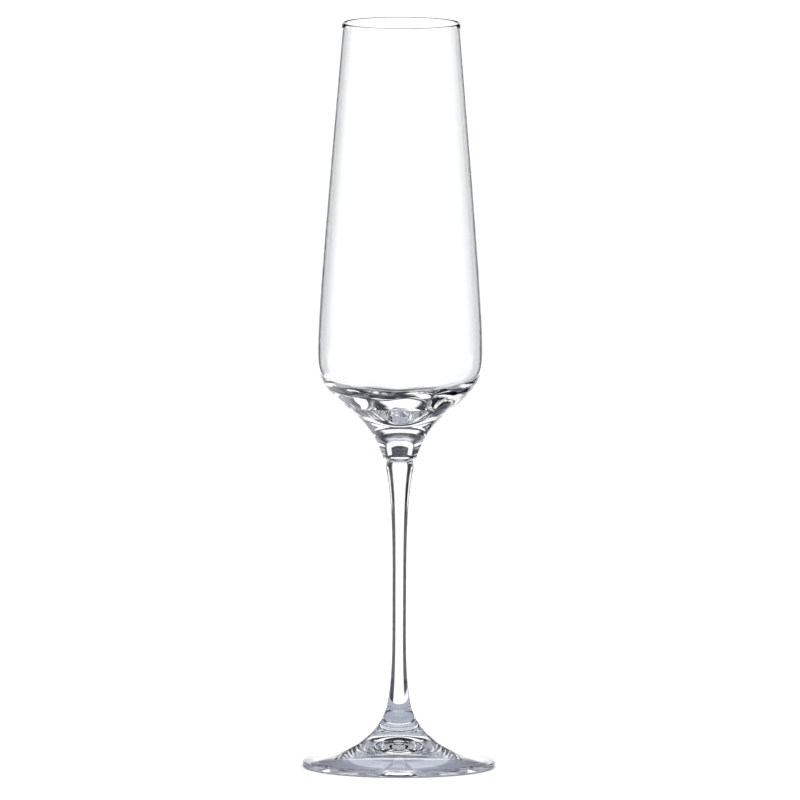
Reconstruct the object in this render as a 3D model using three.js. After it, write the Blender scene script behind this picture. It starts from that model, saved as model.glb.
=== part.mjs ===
// A tall champagne flute of clear crystal glass: a blown bowl, a drawn solid stem and a pressed
// foot, fused to each other at two welds. Millimetres, +Z up. The origin is the centre of the
// circle the foot rests on.
import * as THREE from "three";
import { mergeVertices } from "three/addons/utils/BufferGeometryUtils.js";

// Driving dimensions.
const HEIGHT = 265;
const RIM_RADIUS = 21.1;
const RIM_WALL = 0.9;
const HIP_RADIUS = 29.9; // the widest ring of the bowl
const HIP_HEIGHT = 148.3;
const HIP_WALL = 1.4;
const CAVITY_BOTTOM = 125.2; // the inside of the bowl ends here, on a thick heel of solid glass
const UPPER_WELD_HEIGHT = 108.6; // the bowl meets the stem in a shallow groove
const UPPER_WELD_RADIUS = 4.75;
const STEM_RADIUS = 2.5;
const STEM_WAIST_HEIGHT = 66;
const LOWER_WELD_HEIGHT = 19.8; // the stem meets the foot
const LOWER_WELD_RADIUS = 4.8;
const FOOT_RADIUS = 34;
const FOOT_EDGE_THICKNESS = 2;
const FOOT_TOP_ROUNDING = 0.3;
const FOOT_BOTTOM_ROUNDING = 0.5;
const RESTING_RING_INNER = 30; // the flat ring that the glass stands on starts here
const FOOT_HOLLOW_HEIGHT = 8.3; // the foot's underside rises to this height at its centre

// Steps around the axis, and along each curve of an outline.
const BOWL_SEGMENTS = 60;
const STEM_SEGMENTS = 24;
const FOOT_SEGMENTS = 60;

const point = (radius, height) => new THREE.Vector2(radius, height);

// Joins stretches of curve into one outline, leaving out points that two stretches share.
function outline(...stretches) {
  const points = [];
  for (const [curve, steps] of stretches) {
    for (const next of curve.getPoints(steps)) {
      const last = points.at(-1);
      if (!last || last.distanceTo(next) > 0.001) points.push(next);
    }
  }
  return points;
}

const line = (from, to) => [new THREE.LineCurve(from, to), 1];

const bend = (from, leaving, arriving, to, steps) => [
  new THREE.CubicBezierCurve(from, leaving, arriving, to),
  steps,
];

// A rounded corner, a quarter turn anticlockwise from the start angle.
const quarterRound = (centre, radius, start) => [
  new THREE.EllipseCurve(centre.x, centre.y, radius, radius, start, start + Math.PI / 2),
  3,
];

// The outline turned around the Z axis into one closed body.
function turned(name, points, segments, material) {
  const geometry = new THREE.LatheGeometry(points, segments);
  geometry.rotateX(Math.PI / 2);
  geometry.deleteAttribute("normal");
  geometry.deleteAttribute("uv");
  const body = mergeVertices(geometry);
  body.computeVertexNormals();
  const mesh = new THREE.Mesh(body, material);
  mesh.name = name;
  return mesh;
}

function clearGlass(color) {
  return new THREE.MeshStandardMaterial({ color, roughness: 0.02, metalness: 0 });
}

// The bowl: a wall that widens from the rim to the hip, turns in below it, and runs down a cone
// of solid glass to a small lip over the upper weld. The inside is open at the rim, and its floor
// slopes to a dimple in the middle.
function makeBowl() {
  const weldCentre = point(0, UPPER_WELD_HEIGHT);
  const weldEdge = point(UPPER_WELD_RADIUS, UPPER_WELD_HEIGHT);
  const lipEdge = point(6.1, UPPER_WELD_HEIGHT + 1.6);
  const lipTop = point(6.2, UPPER_WELD_HEIGHT + 2.3);
  const flank = point(19.8, 128.7);
  const hip = point(HIP_RADIUS, HIP_HEIGHT);
  const rimOutside = point(RIM_RADIUS, HEIGHT - RIM_WALL / 2);
  const rimInside = point(RIM_RADIUS - RIM_WALL, HEIGHT - RIM_WALL / 2);
  const innerHip = point(HIP_RADIUS - HIP_WALL, HIP_HEIGHT + 1);
  const innerFlank = point(14, 130.6);
  const cavityBottom = point(0, CAVITY_BOTTOM);
  const lip = new THREE.EllipseCurve(
    RIM_RADIUS - RIM_WALL / 2, HEIGHT - RIM_WALL / 2, RIM_WALL / 2, RIM_WALL / 2, 0, Math.PI,
  );
  return outline(
    line(weldCentre, weldEdge),
    bend(weldEdge, point(UPPER_WELD_RADIUS, 109.3), point(5.4, 109.6), lipEdge, 3),
    line(lipEdge, lipTop),
    bend(lipTop, point(10.4, 121.2), point(12.8, 123), flank, 7),
    bend(flank, point(26.2, 133.9), point(HIP_RADIUS, 138.8), hip, 6),
    bend(hip, point(HIP_RADIUS, 166), point(24.1, 228), rimOutside, 7),
    [lip, 4],
    bend(rimInside, point(23.1, 228), point(innerHip.x, 167), innerHip, 7),
    bend(innerHip, point(innerHip.x, 137), point(26, 136.5), innerFlank, 7),
    bend(innerFlank, point(6, 127.6), point(4, CAVITY_BOTTOM), cavityBottom, 5),
  );
}

// The stem: a solid rod drawn out of a thicker head, at its thinnest above the middle, and
// flaring again into the foot.
function makeStem() {
  const headEdge = point(UPPER_WELD_RADIUS, UPPER_WELD_HEIGHT);
  const shoulder = point(5, UPPER_WELD_HEIGHT - 2);
  const waist = point(STEM_RADIUS, STEM_WAIST_HEIGHT);
  const footEdge = point(LOWER_WELD_RADIUS, LOWER_WELD_HEIGHT);
  return outline(
    line(point(0, LOWER_WELD_HEIGHT), footEdge),
    bend(footEdge, point(2, 28.8), point(STEM_RADIUS, 46.7), waist, 7),
    bend(waist, point(STEM_RADIUS, 85.8), point(3.1, 98), shoulder, 7),
    bend(shoulder, point(5.05, 107.6), point(UPPER_WELD_RADIUS, 107.8), headEdge, 3),
    line(headEdge, point(0, UPPER_WELD_HEIGHT)),
  );
}

// The foot: a shallow trumpet of even thickness that runs from the lower weld out to an upright
// edge. It stands on a flat ring, around a hollow underside.
function makeFoot() {
  const hollowTop = point(0, FOOT_HOLLOW_HEIGHT);
  const ringInner = point(RESTING_RING_INNER, 0);
  const bottomCorner = point(FOOT_RADIUS - FOOT_BOTTOM_ROUNDING, FOOT_BOTTOM_ROUNDING);
  const topCorner = point(
    FOOT_RADIUS - FOOT_TOP_ROUNDING, FOOT_EDGE_THICKNESS - FOOT_TOP_ROUNDING,
  );
  const edgeTop = point(topCorner.x, FOOT_EDGE_THICKNESS);
  const weldEdge = point(LOWER_WELD_RADIUS, LOWER_WELD_HEIGHT);
  return outline(
    bend(hollowTop, point(6, FOOT_HOLLOW_HEIGHT), point(16.5, 2.4), ringInner, 8),
    line(ringInner, point(bottomCorner.x, 0)),
    quarterRound(bottomCorner, FOOT_BOTTOM_ROUNDING, -Math.PI / 2),
    quarterRound(topCorner, FOOT_TOP_ROUNDING, 0),
    bend(edgeTop, point(18.5, 3.9), point(8.6, 9.8), weldEdge, 9),
    line(weldEdge, point(0, LOWER_WELD_HEIGHT)),
  );
}

const flute = new THREE.Group();
flute.add(
  turned("bowl", makeBowl(), BOWL_SEGMENTS, clearGlass(0xf4f6fa)),
  turned("stem", makeStem(), STEM_SEGMENTS, clearGlass(0xf2f4fa)),
  turned("foot", makeFoot(), FOOT_SEGMENTS, clearGlass(0xe8ebf4)),
);

export default flute;
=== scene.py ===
"""A champagne flute of clear crystal, on a pale matt table in a soft white studio.

The bowl, the stem and the foot are turned as fine meshes from the outlines of the CAD part, in
millimetres, and stand exactly where its three nodes are.
"""

import math

import bpy
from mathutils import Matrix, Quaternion, Vector, noise


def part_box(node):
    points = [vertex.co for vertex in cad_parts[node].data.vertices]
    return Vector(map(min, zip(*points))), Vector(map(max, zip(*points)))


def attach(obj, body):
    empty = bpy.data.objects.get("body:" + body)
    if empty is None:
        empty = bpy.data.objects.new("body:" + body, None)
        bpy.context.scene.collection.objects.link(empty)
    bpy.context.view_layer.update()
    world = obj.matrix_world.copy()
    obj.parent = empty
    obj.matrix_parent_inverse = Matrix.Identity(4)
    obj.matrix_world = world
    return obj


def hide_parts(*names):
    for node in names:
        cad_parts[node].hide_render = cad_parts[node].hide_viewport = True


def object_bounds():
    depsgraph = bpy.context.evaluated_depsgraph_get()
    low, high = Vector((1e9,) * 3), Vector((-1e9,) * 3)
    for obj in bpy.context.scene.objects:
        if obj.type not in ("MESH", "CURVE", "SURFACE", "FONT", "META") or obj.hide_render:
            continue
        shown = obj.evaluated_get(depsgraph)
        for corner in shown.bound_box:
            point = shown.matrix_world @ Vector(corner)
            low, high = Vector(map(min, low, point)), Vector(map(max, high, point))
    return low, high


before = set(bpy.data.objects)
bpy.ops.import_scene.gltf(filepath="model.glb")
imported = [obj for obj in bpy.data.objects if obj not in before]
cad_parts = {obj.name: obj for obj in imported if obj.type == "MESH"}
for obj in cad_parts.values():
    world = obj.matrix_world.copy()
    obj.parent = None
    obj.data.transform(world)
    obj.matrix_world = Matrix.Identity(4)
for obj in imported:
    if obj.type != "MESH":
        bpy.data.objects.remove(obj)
cad_low, cad_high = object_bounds()

MM = 0.001

# The flute, in millimetres.
HEIGHT = (cad_high[2] - cad_low[2]) / MM
FOOT_RADIUS = (cad_high[0] - cad_low[0]) / 2 / MM
UPPER_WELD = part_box("stem")[1][2] / MM
LOWER_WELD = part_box("stem")[0][2] / MM
UPPER_WELD_RADIUS = 4.75
LOWER_WELD_RADIUS = 4.8
RIM_RADIUS = 21.1
RIM_WALL = 0.9
HIP_RADIUS = 29.9
HIP_HEIGHT = 148.3
HIP_WALL = 1.4
CAVITY_BOTTOM = 125.2
STEM_RADIUS = 2.5
STEM_WAIST = 66.0
FOOT_EDGE = 2.0
FOOT_TOP_ROUNDING = 0.3
FOOT_BOTTOM_ROUNDING = 0.5
RESTING_RING_INNER = 30.0
FOOT_HOLLOW = 8.3

# How finely the outlines are drawn and turned.
SEGMENTS = 192
CURVE_STEPS = 32
LONG_CURVE_STEPS = 64
ROUNDING_STEPS = 8
SHARP_EDGE_ANGLE = 30.0
SAME_POINT = 1e-6
SAME_HEIGHT = 1e-3

# The unevenness that hand work leaves on the bowl's floor and the foot's underside, in
# millimetres. It starts at the first value of its fade and is full at the second: heights on the
# bowl's floor, and radii under the foot.
WAVES_PER_MM = 0.16
WAVE_FULL_RADIUS = 4.0
HEEL_WAVE = 0.16
HEEL_WAVE_FADE = (139.0, 134.0)
HEEL_SEED = 1.7
FOOT_WAVE = 0.02
FOOT_WAVE_FADE = (RESTING_RING_INNER, 22.0)
FOOT_SEED = 5.3
# Two cones that run through the glass and part the inner surfaces from the outer ones.
HEEL_CONE_TIP = 113.2
HEEL_CONE_SLOPE = 0.93
FOOT_CONE_SLOPE = 0.3

# The crystal, and the faint ripple of its fire-polished surface, which is in metres.
CRYSTAL_COLOUR = (0.985, 0.99, 0.995, 1)
CRYSTAL_IOR = 1.52
RIPPLES_PER_METRE = 90
RIPPLE_DETAIL = 2
RIPPLE_DEPTH = 0.00002

# The camera: a long lens, so the glass is seen almost without perspective.
CAMERA_DISTANCE = 12.0
CAMERA_ELEVATION = 6.3
CAMERA_ROLL = 0.2
CAMERA_AIM_HEIGHT = 0.1306
CAMERA_REACH = 100.0
VIEW_WIDTH = 0.2835
SENSOR_WIDTH = 36.0

# The studio: linear colours, and angles in degrees. Each edge, foot and top is a pair: where the
# fade starts and where it is over. The room is alike behind the flute and in front of it, so an
# azimuth here runs from 0, straight behind or in front, to 90 at the sides.
DARK = (0.016, 0.017, 0.024)
# A grey haze over the sides.
HAZE = (0.14, 0.152, 0.185)
HAZE_EDGE = (50.0, 66.0)
HAZE_TOP = (24.0, 34.0)
# White panels behind and in front, greyer ones on the sides, and white corners between them.
PANEL = (1.25, 1.25, 1.25)
PANEL_EDGE = (19.0, 28.0)
PANEL_FOOT = (-40.0, -26.0)
PANEL_TOP = (10.0, 14.0)
SIDE_PANEL = (0.50, 0.53, 0.60)
SIDE_PANEL_EDGE = (58.0, 76.0)
SIDE_PANEL_TOP = (1.0, 5.0)
CORNER_EDGE = (40.0, 46.0)
CORNER_END = (56.0, 64.0)
CORNER_FOOT = (-2.0, 1.0)
# Windows above the panels, dimmer at the sides. An edge is counted from the window's own middle.
WINDOW = (1.2, 1.2, 1.25)
SIDE_WINDOW = (0.22, 0.22, 0.26)
WINDOW_EDGE = (31.0, 37.0)
WINDOW_FOOT = (21.0, 24.0)
WINDOW_TOP = (39.0, 43.0)
# A dark board over the middle of each panel, which reaches up into the window.
FLAG = (0.07, 0.07, 0.09)
FLAG_EDGE = (17.0, 21.0)
FLAG_TOP = (27.0, 29.0)
# From here on an azimuth runs from the back round by the right, and is negative on the left.
# A dark drape on the right.
DRAPE = (0.05, 0.052, 0.066)
DRAPE_EDGE = (72.0, 86.0)
DRAPE_END = (122.0, 130.0)
DRAPE_TOP = (24.0, 34.0)
# An overhead light over the front half of the room.
OVERHEAD = (0.80, 0.83, 0.90)
OVERHEAD_EDGE = (50.0, 66.0)
OVERHEAD_START = (70.0, 100.0)
# White cards for the views from the corners and the sides: azimuth, half width, foot and top.
CARDS = (
    (-45.0, 22.0, -80.0, -19.0),
    (135.0, 20.0, -80.0, -9.0),
    (-90.0, 9.0, -34.0, 4.0),
    (90.0, 9.0, -12.0, 4.0),
)
CARD = (1.2, 1.2, 1.2)
CARD_SOFTNESS = 3.0
# The plain white that the camera sees behind the flute.
BACKDROP = (1.0, 1.0, 1.0)

TOP_LIGHT_ANGLE = 70.0
TOP_LIGHT_STRENGTH = 3.1

# The table, in metres.
TABLE_COLOUR = (0.93, 0.93, 0.94, 1)
TABLE_HALF_WIDTH = 5.0
TABLE_TOP = -0.0002
# A glowing disc over the middle of the table, which only the glass sees: painted shade of the flute,
# grey-blue in the middle. It fades outwards to a painted bright rim.
SHADE_TOP = -0.0008
SHADE_RADIUS = 0.06
PAINTED_SHADE = (0.43, 0.465, 0.55)
PAINTED_LIGHT_RIM = (1.2, 1.2, 1.2)
SHADE_FADE = (0.05, 0.12)

LIGHT_BOUNCES = 32


# ---- outlines: lists of (radius, height) in millimetres, each from the axis round to the axis ----

def bend(start, pull_start, pull_end, end, steps=CURVE_STEPS):
    """A cubic curve from start to end, drawn out towards the two pull points."""
    points = []
    for step in range(steps + 1):
        t = step / steps
        weights = ((1 - t) ** 3, 3 * (1 - t) ** 2 * t, 3 * (1 - t) * t * t, t ** 3)
        corners = (start, pull_start, pull_end, end)
        points.append(tuple(sum(w * p[k] for w, p in zip(weights, corners)) for k in (0, 1)))
    return points


def rounding(centre, radius, start_angle, end_angle, steps=ROUNDING_STEPS):
    """Part of a circle, from one angle to another in degrees."""
    points = []
    for step in range(steps + 1):
        angle = math.radians(start_angle + (end_angle - start_angle) * step / steps)
        points.append((centre[0] + radius * math.cos(angle), centre[1] + radius * math.sin(angle)))
    return points


def outline(*stretches):
    """One outline from several stretches, with the points that they share kept once."""
    points = []
    for stretch in stretches:
        for point in stretch:
            if not points or math.dist(point, points[-1]) > SAME_POINT:
                points.append(point)
    return points


def bowl_outline():
    """Out from the weld, up the outside to the rim, and down the inside to the bowl's floor."""
    weld_edge = (UPPER_WELD_RADIUS, UPPER_WELD)
    lip = (6.1, UPPER_WELD + 1.6)
    heel_start = (6.2, UPPER_WELD + 2.3)
    flank = (19.8, 128.7)
    hip = (HIP_RADIUS, HIP_HEIGHT)
    rim_centre = (RIM_RADIUS - RIM_WALL / 2, HEIGHT - RIM_WALL / 2)
    outer_rim = (RIM_RADIUS, rim_centre[1])
    inner_rim = (RIM_RADIUS - RIM_WALL, rim_centre[1])
    inner_hip = (HIP_RADIUS - HIP_WALL, HIP_HEIGHT + 1)
    inner_flank = (14, 130.6)
    cavity_bottom = (0, CAVITY_BOTTOM)
    return outline(
        [(0, UPPER_WELD)],
        bend(weld_edge, (UPPER_WELD_RADIUS, 109.3), (5.4, 109.6), lip, ROUNDING_STEPS),
        bend(heel_start, (10.4, 121.2), (12.8, 123), flank),
        bend(flank, (26.2, 133.9), (HIP_RADIUS, 138.8), hip),
        bend(hip, (HIP_RADIUS, 166), (24.1, 228), outer_rim, LONG_CURVE_STEPS),
        rounding(rim_centre, RIM_WALL / 2, 0, 180),
        bend(inner_rim, (23.1, 228), (inner_hip[0], 167), inner_hip, LONG_CURVE_STEPS),
        bend(inner_hip, (inner_hip[0], 137), (26, 136.5), inner_flank, LONG_CURVE_STEPS),
        bend(inner_flank, (6, 127.6), (4, CAVITY_BOTTOM), cavity_bottom, LONG_CURVE_STEPS),
    )


def stem_outline():
    """Up from the lower weld, past the waist, to the thicker head at the upper weld."""
    foot_edge = (LOWER_WELD_RADIUS, LOWER_WELD)
    waist = (STEM_RADIUS, STEM_WAIST)
    shoulder = (5, UPPER_WELD - 2)
    head_edge = (UPPER_WELD_RADIUS, UPPER_WELD)
    return outline(
        [(0, LOWER_WELD)],
        bend(foot_edge, (2, 28.8), (STEM_RADIUS, 46.7), waist, LONG_CURVE_STEPS),
        bend(waist, (STEM_RADIUS, 85.8), (3.1, 98), shoulder, LONG_CURVE_STEPS),
        bend(shoulder, (5.05, 107.6), (UPPER_WELD_RADIUS, 107.8), head_edge, ROUNDING_STEPS),
        [(0, UPPER_WELD)],
    )


def foot_outline():
    """Out under the hollow to the resting ring, round the edge, and up the top to the weld."""
    hollow_top = (0, FOOT_HOLLOW)
    ring_inner = (RESTING_RING_INNER, 0)
    bottom_centre = (FOOT_RADIUS - FOOT_BOTTOM_ROUNDING, FOOT_BOTTOM_ROUNDING)
    top_edge = (FOOT_RADIUS - FOOT_TOP_ROUNDING, FOOT_EDGE)
    top_centre = (top_edge[0], FOOT_EDGE - FOOT_TOP_ROUNDING)
    weld_edge = (LOWER_WELD_RADIUS, LOWER_WELD)
    return outline(
        bend(hollow_top, (6, FOOT_HOLLOW), (16.5, 2.4), ring_inner, LONG_CURVE_STEPS),
        rounding(bottom_centre, FOOT_BOTTOM_ROUNDING, -90, 0),
        rounding(top_centre, FOOT_TOP_ROUNDING, 0, 90),
        bend(top_edge, (18.5, 3.9), (8.6, 9.8), weld_edge, LONG_CURVE_STEPS),
        [(0, LOWER_WELD)],
    )


# ---- meshes ----

def wave(radius, angle, height, seed):
    """A smooth wandering value of about -1 to 1 round the flute, which is 0 at its axis."""
    place = Vector((radius * math.cos(angle), radius * math.sin(angle), height))
    shift = Vector((seed, 2 * seed, 3 * seed))
    return noise.noise(place * WAVES_PER_MM + shift) * min(radius / WAVE_FULL_RADIUS, 1)


def between(value, low, high):
    """0 at low, 1 at high, and smooth between them."""
    t = min(max((value - low) / (high - low), 0), 1)
    return t * t * (3 - 2 * t)


def turned(name, points, waviness=None):
    """A closed body turned from an outline; its flat weld faces take the second material."""
    vertices = []
    rings = []
    for radius, height in points:
        if radius < SAME_POINT:
            rings.append([len(vertices)] * SEGMENTS)
            lift = waviness(0, height, 0) if waviness else 0
            vertices.append((0, 0, (height + lift) * MM))
            continue
        rings.append(list(range(len(vertices), len(vertices) + SEGMENTS)))
        for segment in range(SEGMENTS):
            angle = 2 * math.pi * segment / SEGMENTS
            lift = waviness(radius, height, angle) if waviness else 0
            vertices.append((
                radius * math.cos(angle) * MM,
                radius * math.sin(angle) * MM,
                (height + lift) * MM,
            ))
    faces = []
    for lower, upper in zip(rings, rings[1:]):
        for segment in range(SEGMENTS):
            following = (segment + 1) % SEGMENTS
            corners = [lower[segment], lower[following], upper[following], upper[segment]]
            faces.append(list(dict.fromkeys(corners)))
    mesh = bpy.data.meshes.new(name)
    mesh.from_pydata(vertices, [], faces)
    for polygon in mesh.polygons:
        polygon.use_smooth = True
        heights = [vertices[index][2] / MM for index in polygon.vertices]
        for weld in (UPPER_WELD, LOWER_WELD):
            if max(abs(height - weld) for height in heights) < SAME_HEIGHT:
                polygon.material_index = 1
    mesh.set_sharp_from_angle(angle=math.radians(SHARP_EDGE_ANGLE))
    piece = bpy.data.objects.new(name, mesh)
    bpy.context.collection.objects.link(piece)
    return piece


def heel_waviness(radius, height, angle):
    """The floor of the bowl: the surface above a cone that runs through the glass of the heel."""
    if height < HEEL_CONE_TIP + HEEL_CONE_SLOPE * radius:
        return 0
    amount = HEEL_WAVE * between(height, *HEEL_WAVE_FADE)
    return amount * wave(radius, angle, height, HEEL_SEED)


def foot_waviness(radius, height, angle):
    """The foot's underside: the surface below a cone that runs through the glass of the foot."""
    if height > FOOT_CONE_SLOPE * (RESTING_RING_INNER - radius):
        return 0
    amount = FOOT_WAVE * between(radius, *FOOT_WAVE_FADE)
    return amount * wave(radius, angle, 0, FOOT_SEED)


# ---- materials ----

def new_node(tree, kind, **settings):
    """A shader node with some of its settings."""
    node = tree.nodes.new(kind)
    for setting, value in settings.items():
        setattr(node, setting, value)
    return node


def crystal():
    """Clear crystal, with the faint ripple of fire-polished glass."""
    material = bpy.data.materials.new("crystal")
    material.use_nodes = True
    tree = material.node_tree
    shader = tree.nodes["Principled BSDF"]
    shader.inputs["Base Color"].default_value = CRYSTAL_COLOUR
    shader.inputs["Transmission Weight"].default_value = 1
    shader.inputs["IOR"].default_value = CRYSTAL_IOR
    shader.inputs["Roughness"].default_value = 0
    place = new_node(tree, "ShaderNodeTexCoord")
    ripple = new_node(tree, "ShaderNodeTexNoise")
    ripple.inputs["Scale"].default_value = RIPPLES_PER_METRE
    ripple.inputs["Detail"].default_value = RIPPLE_DETAIL
    bump = new_node(tree, "ShaderNodeBump")
    bump.inputs["Strength"].default_value = 1
    bump.inputs["Distance"].default_value = RIPPLE_DEPTH
    tree.links.new(place.outputs["Object"], ripple.inputs["Vector"])
    tree.links.new(ripple.outputs["Fac"], bump.inputs["Height"])
    tree.links.new(bump.outputs["Normal"], shader.inputs["Normal"])
    return material


def weld_face():
    """Where two pieces are fused the glass runs on, so the face between them is clear."""
    material = bpy.data.materials.new("fused_face")
    material.use_nodes = True
    tree = material.node_tree
    tree.nodes.clear()
    output = new_node(tree, "ShaderNodeOutputMaterial")
    clear = new_node(tree, "ShaderNodeBsdfTransparent")
    tree.links.new(clear.outputs["BSDF"], output.inputs["Surface"])
    return material


def build_flute():
    """The three pieces of glass, each in place of its own CAD node."""
    glass = crystal()
    fused = weld_face()
    for node, points, waviness in (
        ("bowl", bowl_outline(), heel_waviness),
        ("stem", stem_outline(), None),
        ("foot", foot_outline(), foot_waviness),
    ):
        piece = turned("crystal_" + node, points, waviness)
        piece.data.materials.append(glass)
        piece.data.materials.append(fused)
        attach(piece, "root")
        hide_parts(node)


# ---- the table, the studio and the camera ----

def flat_piece(name, edge, height, material):
    """A flat surface of the stage inside an edge of (x, y) corners."""
    mesh = bpy.data.meshes.new(name)
    mesh.from_pydata([(x, y, height) for x, y in edge], [], [range(len(edge))])
    mesh.materials.append(material)
    surface = bpy.data.objects.new(name, mesh)
    bpy.context.collection.objects.link(surface)
    return surface


def build_table():
    """The pale matt table. The glass sees the glowing disc of painted shade and the studio in its
    place.
    """
    material = bpy.data.materials.new("table")
    material.use_nodes = True
    shader = material.node_tree.nodes["Principled BSDF"]
    shader.inputs["Base Color"].default_value = TABLE_COLOUR
    shader.inputs["Roughness"].default_value = 1
    shader.inputs["Specular IOR Level"].default_value = 0
    side = TABLE_HALF_WIDTH
    square = [(-side, -side), (side, -side), (side, side), (-side, side)]
    table = flat_piece("table", square, TABLE_TOP, material)
    table.visible_transmission = False
    table.visible_glossy = False


def build_painted_shade_disc():
    """The middle of the table as the glass sees it: a glowing disc painted with the flute's shade,
    which fades out to painted light at its rim.
    """
    material = bpy.data.materials.new("painted_shade_disc")
    material.use_nodes = True
    tree = material.node_tree
    tree.nodes.clear()
    place = new_node(tree, "ShaderNodeTexCoord")
    length = new_node(tree, "ShaderNodeVectorMath", operation="LENGTH")
    glow = new_node(tree, "ShaderNodeEmission")
    output = new_node(tree, "ShaderNodeOutputMaterial")
    tree.links.new(place.outputs["Object"], length.inputs[0])
    # Painted shade in the middle, fading outwards to a painted bright rim, both given out as glow.
    outwards = fade(tree, length.outputs["Value"], SHADE_FADE)
    tree.links.new(paint(tree, outwards, PAINTED_SHADE, PAINTED_LIGHT_RIM), glow.inputs["Color"])
    tree.links.new(glow.outputs["Emission"], output.inputs["Surface"])
    edge = []
    for segment in range(SEGMENTS):
        angle = 2 * math.pi * segment / SEGMENTS
        edge.append((SHADE_RADIUS * math.cos(angle), SHADE_RADIUS * math.sin(angle)))
    shade = flat_piece("painted_shade_disc", edge, SHADE_TOP, material)
    shade.visible_camera = False
    shade.visible_diffuse = False


def calculate(tree, operation, *values):
    """One step of arithmetic on numbers and sockets."""
    node = new_node(tree, "ShaderNodeMath", operation=operation)
    for socket, value in zip(node.inputs, values):
        if isinstance(value, (int, float)):
            socket.default_value = value
        else:
            tree.links.new(value, socket)
    return node.outputs["Value"]


def fade(tree, value, edge):
    """0 before the edge, 1 after it, and smooth between its two ends."""
    node = new_node(tree, "ShaderNodeMapRange", interpolation_type="SMOOTHSTEP")
    tree.links.new(value, node.inputs["Value"])
    node.inputs["From Min"].default_value = edge[0]
    node.inputs["From Max"].default_value = edge[1]
    return node.outputs["Result"]


def inside(tree, *masks):
    """The product of several masks."""
    product = masks[0]
    for mask in masks[1:]:
        product = calculate(tree, "MULTIPLY", product, mask)
    return product


def outside(tree, mask):
    """1 where the mask is 0."""
    return calculate(tree, "SUBTRACT", 1, mask)


def paint(tree, mask, under, colour):
    """The colour where the mask is 1, over what is under it."""
    node = new_node(tree, "ShaderNodeMix", data_type="RGBA")
    tree.links.new(mask, node.inputs[0])
    for socket, value in ((node.inputs[6], under), (node.inputs[7], colour)):
        if isinstance(value, tuple):
            socket.default_value = (*value, 1)
        else:
            tree.links.new(value, socket)
    return node.outputs[2]


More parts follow.
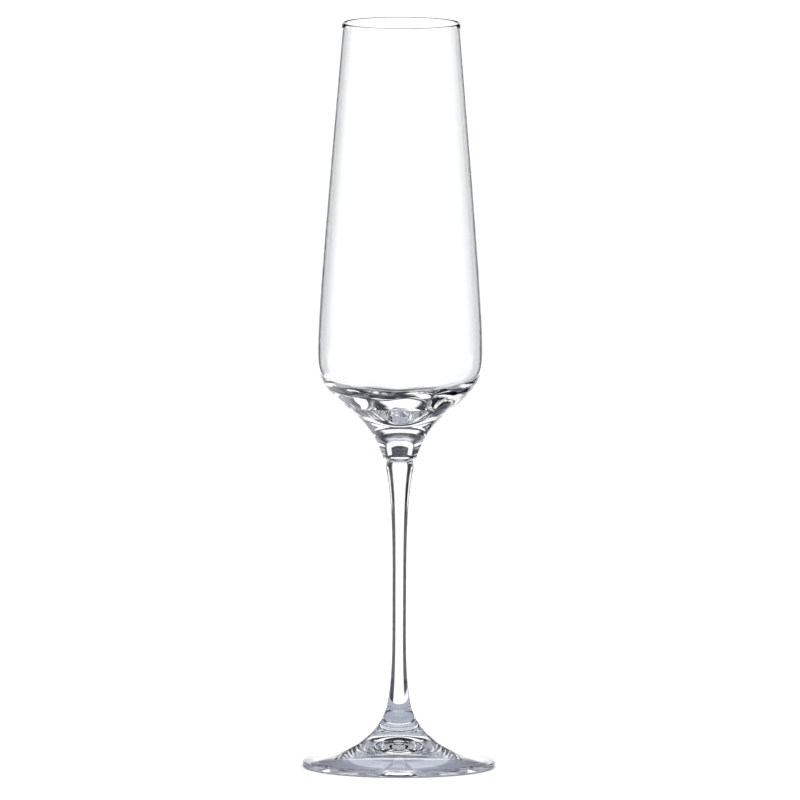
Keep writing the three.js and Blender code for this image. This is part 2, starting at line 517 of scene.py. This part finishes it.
def build_studio():
    """A dark room with panels, windows and cards round the flute, and plain white for the camera."""
    world = bpy.data.worlds.new("studio")
    bpy.context.scene.world = world
    world.use_nodes = True
    tree = world.node_tree
    tree.nodes.clear()
    place = new_node(tree, "ShaderNodeTexCoord")
    direction = new_node(tree, "ShaderNodeSeparateXYZ")
    tree.links.new(place.outputs["Generated"], direction.inputs[0])
    x, y, z = direction.outputs
    one_radian = math.degrees(1)
    azimuth = calculate(tree, "MULTIPLY", calculate(tree, "ARCTAN2", x, y), one_radian)
    elevation = calculate(tree, "MULTIPLY", calculate(tree, "ARCSINE", z), one_radian)
    from_back = calculate(tree, "ABSOLUTE", calculate(tree, "WRAP", azimuth, 90, -90))
    from_side = calculate(tree, "SUBTRACT", 90, from_back)
    from_face = calculate(tree, "MINIMUM", from_back, from_side)

    below_panel_top = outside(tree, fade(tree, elevation, PANEL_TOP))
    panel = inside(
        tree,
        outside(tree, fade(tree, from_back, PANEL_EDGE)),
        fade(tree, elevation, PANEL_FOOT),
        below_panel_top,
    )
    below_side_top = outside(tree, fade(tree, elevation, SIDE_PANEL_TOP))
    side_panel = inside(tree, fade(tree, from_back, SIDE_PANEL_EDGE), below_side_top)
    corner = inside(
        tree,
        fade(tree, from_back, CORNER_EDGE),
        outside(tree, fade(tree, from_back, CORNER_END)),
        fade(tree, elevation, CORNER_FOOT),
        below_panel_top,
    )
    drape = inside(
        tree,
        fade(tree, azimuth, DRAPE_EDGE),
        outside(tree, fade(tree, azimuth, DRAPE_END)),
        outside(tree, fade(tree, elevation, DRAPE_TOP)),
    )
    window_height = inside(
        tree,
        fade(tree, elevation, WINDOW_FOOT),
        outside(tree, fade(tree, elevation, WINDOW_TOP)),
    )
    window = inside(tree, outside(tree, fade(tree, from_back, WINDOW_EDGE)), window_height)
    side_window = inside(tree, outside(tree, fade(tree, from_side, WINDOW_EDGE)), window_height)
    flag = inside(
        tree,
        outside(tree, fade(tree, from_face, FLAG_EDGE)),
        fade(tree, elevation, PANEL_TOP),
        outside(tree, fade(tree, elevation, FLAG_TOP)),
    )
    below_haze_top = outside(tree, fade(tree, elevation, HAZE_TOP))
    haze = inside(tree, fade(tree, from_back, HAZE_EDGE), below_haze_top)
    overhead = inside(
        tree,
        fade(tree, elevation, OVERHEAD_EDGE),
        fade(tree, calculate(tree, "ABSOLUTE", azimuth), OVERHEAD_START),
    )

    colour = paint(tree, haze, DARK, HAZE)
    colour = paint(tree, panel, colour, PANEL)
    colour = paint(tree, side_panel, colour, SIDE_PANEL)
    colour = paint(tree, corner, colour, PANEL)
    colour = paint(tree, drape, colour, DRAPE)
    colour = paint(tree, window, colour, WINDOW)
    colour = paint(tree, side_window, colour, SIDE_WINDOW)
    colour = paint(tree, flag, colour, FLAG)
    colour = paint(tree, overhead, colour, OVERHEAD)
    for card_azimuth, half_width, foot, top in CARDS:
        past_card = calculate(tree, "SUBTRACT", azimuth, card_azimuth)
        from_card = calculate(tree, "ABSOLUTE", calculate(tree, "WRAP", past_card, 180, -180))
        card = inside(
            tree,
            outside(tree, fade(tree, from_card, (half_width, half_width + CARD_SOFTNESS))),
            fade(tree, elevation, (foot, foot + CARD_SOFTNESS)),
            outside(tree, fade(tree, elevation, (top, top + CARD_SOFTNESS))),
        )
        colour = paint(tree, card, colour, CARD)
    rays = new_node(tree, "ShaderNodeLightPath")
    colour = paint(tree, rays.outputs["Is Camera Ray"], colour, BACKDROP)
    background = new_node(tree, "ShaderNodeBackground")
    output = new_node(tree, "ShaderNodeOutputWorld")
    tree.links.new(colour, background.inputs["Color"])
    tree.links.new(background.outputs["Background"], output.inputs["Surface"])


def build_top_light():
    """A wide soft light from straight above that only the table takes."""
    light = bpy.data.lights.new("top_light", "SUN")
    light.angle = math.radians(TOP_LIGHT_ANGLE)
    light.energy = TOP_LIGHT_STRENGTH
    lamp = bpy.data.objects.new("top_light", light)
    bpy.context.collection.objects.link(lamp)
    lamp.location = (0, 0, 1)
    lamp.visible_glossy = False
    lamp.visible_transmission = False


def build_camera():
    """The camera in front of the flute, a little above it and looking slightly down."""
    data = bpy.data.cameras.new("camera")
    data.sensor_width = SENSOR_WIDTH
    data.lens = SENSOR_WIDTH * CAMERA_DISTANCE / VIEW_WIDTH
    data.clip_end = CAMERA_REACH
    camera = bpy.data.objects.new("camera", data)
    bpy.context.collection.objects.link(camera)
    bpy.context.scene.camera = camera
    elevation = math.radians(CAMERA_ELEVATION)
    aim = Vector((0, 0, CAMERA_AIM_HEIGHT))
    offset = Vector((0, -math.cos(elevation), math.sin(elevation))) * CAMERA_DISTANCE
    camera.location = aim + offset
    camera.rotation_mode = "QUATERNION"
    level = (-offset).to_track_quat("-Z", "Y")
    camera.rotation_quaternion = level @ Quaternion((0, 0, 1), math.radians(CAMERA_ROLL))


def set_light_paths():
    """Glass needs many bounces: light turns many times inside the heel and the foot."""
    scene = bpy.context.scene
    scene.view_settings.view_transform = "Standard"
    scene.cycles.max_bounces = LIGHT_BOUNCES
    scene.cycles.transmission_bounces = LIGHT_BOUNCES
    scene.cycles.glossy_bounces = LIGHT_BOUNCES
    scene.cycles.transparent_max_bounces = LIGHT_BOUNCES


build_camera()
build_flute()
build_table()
build_painted_shade_disc()
build_studio()
build_top_light()
set_light_paths()
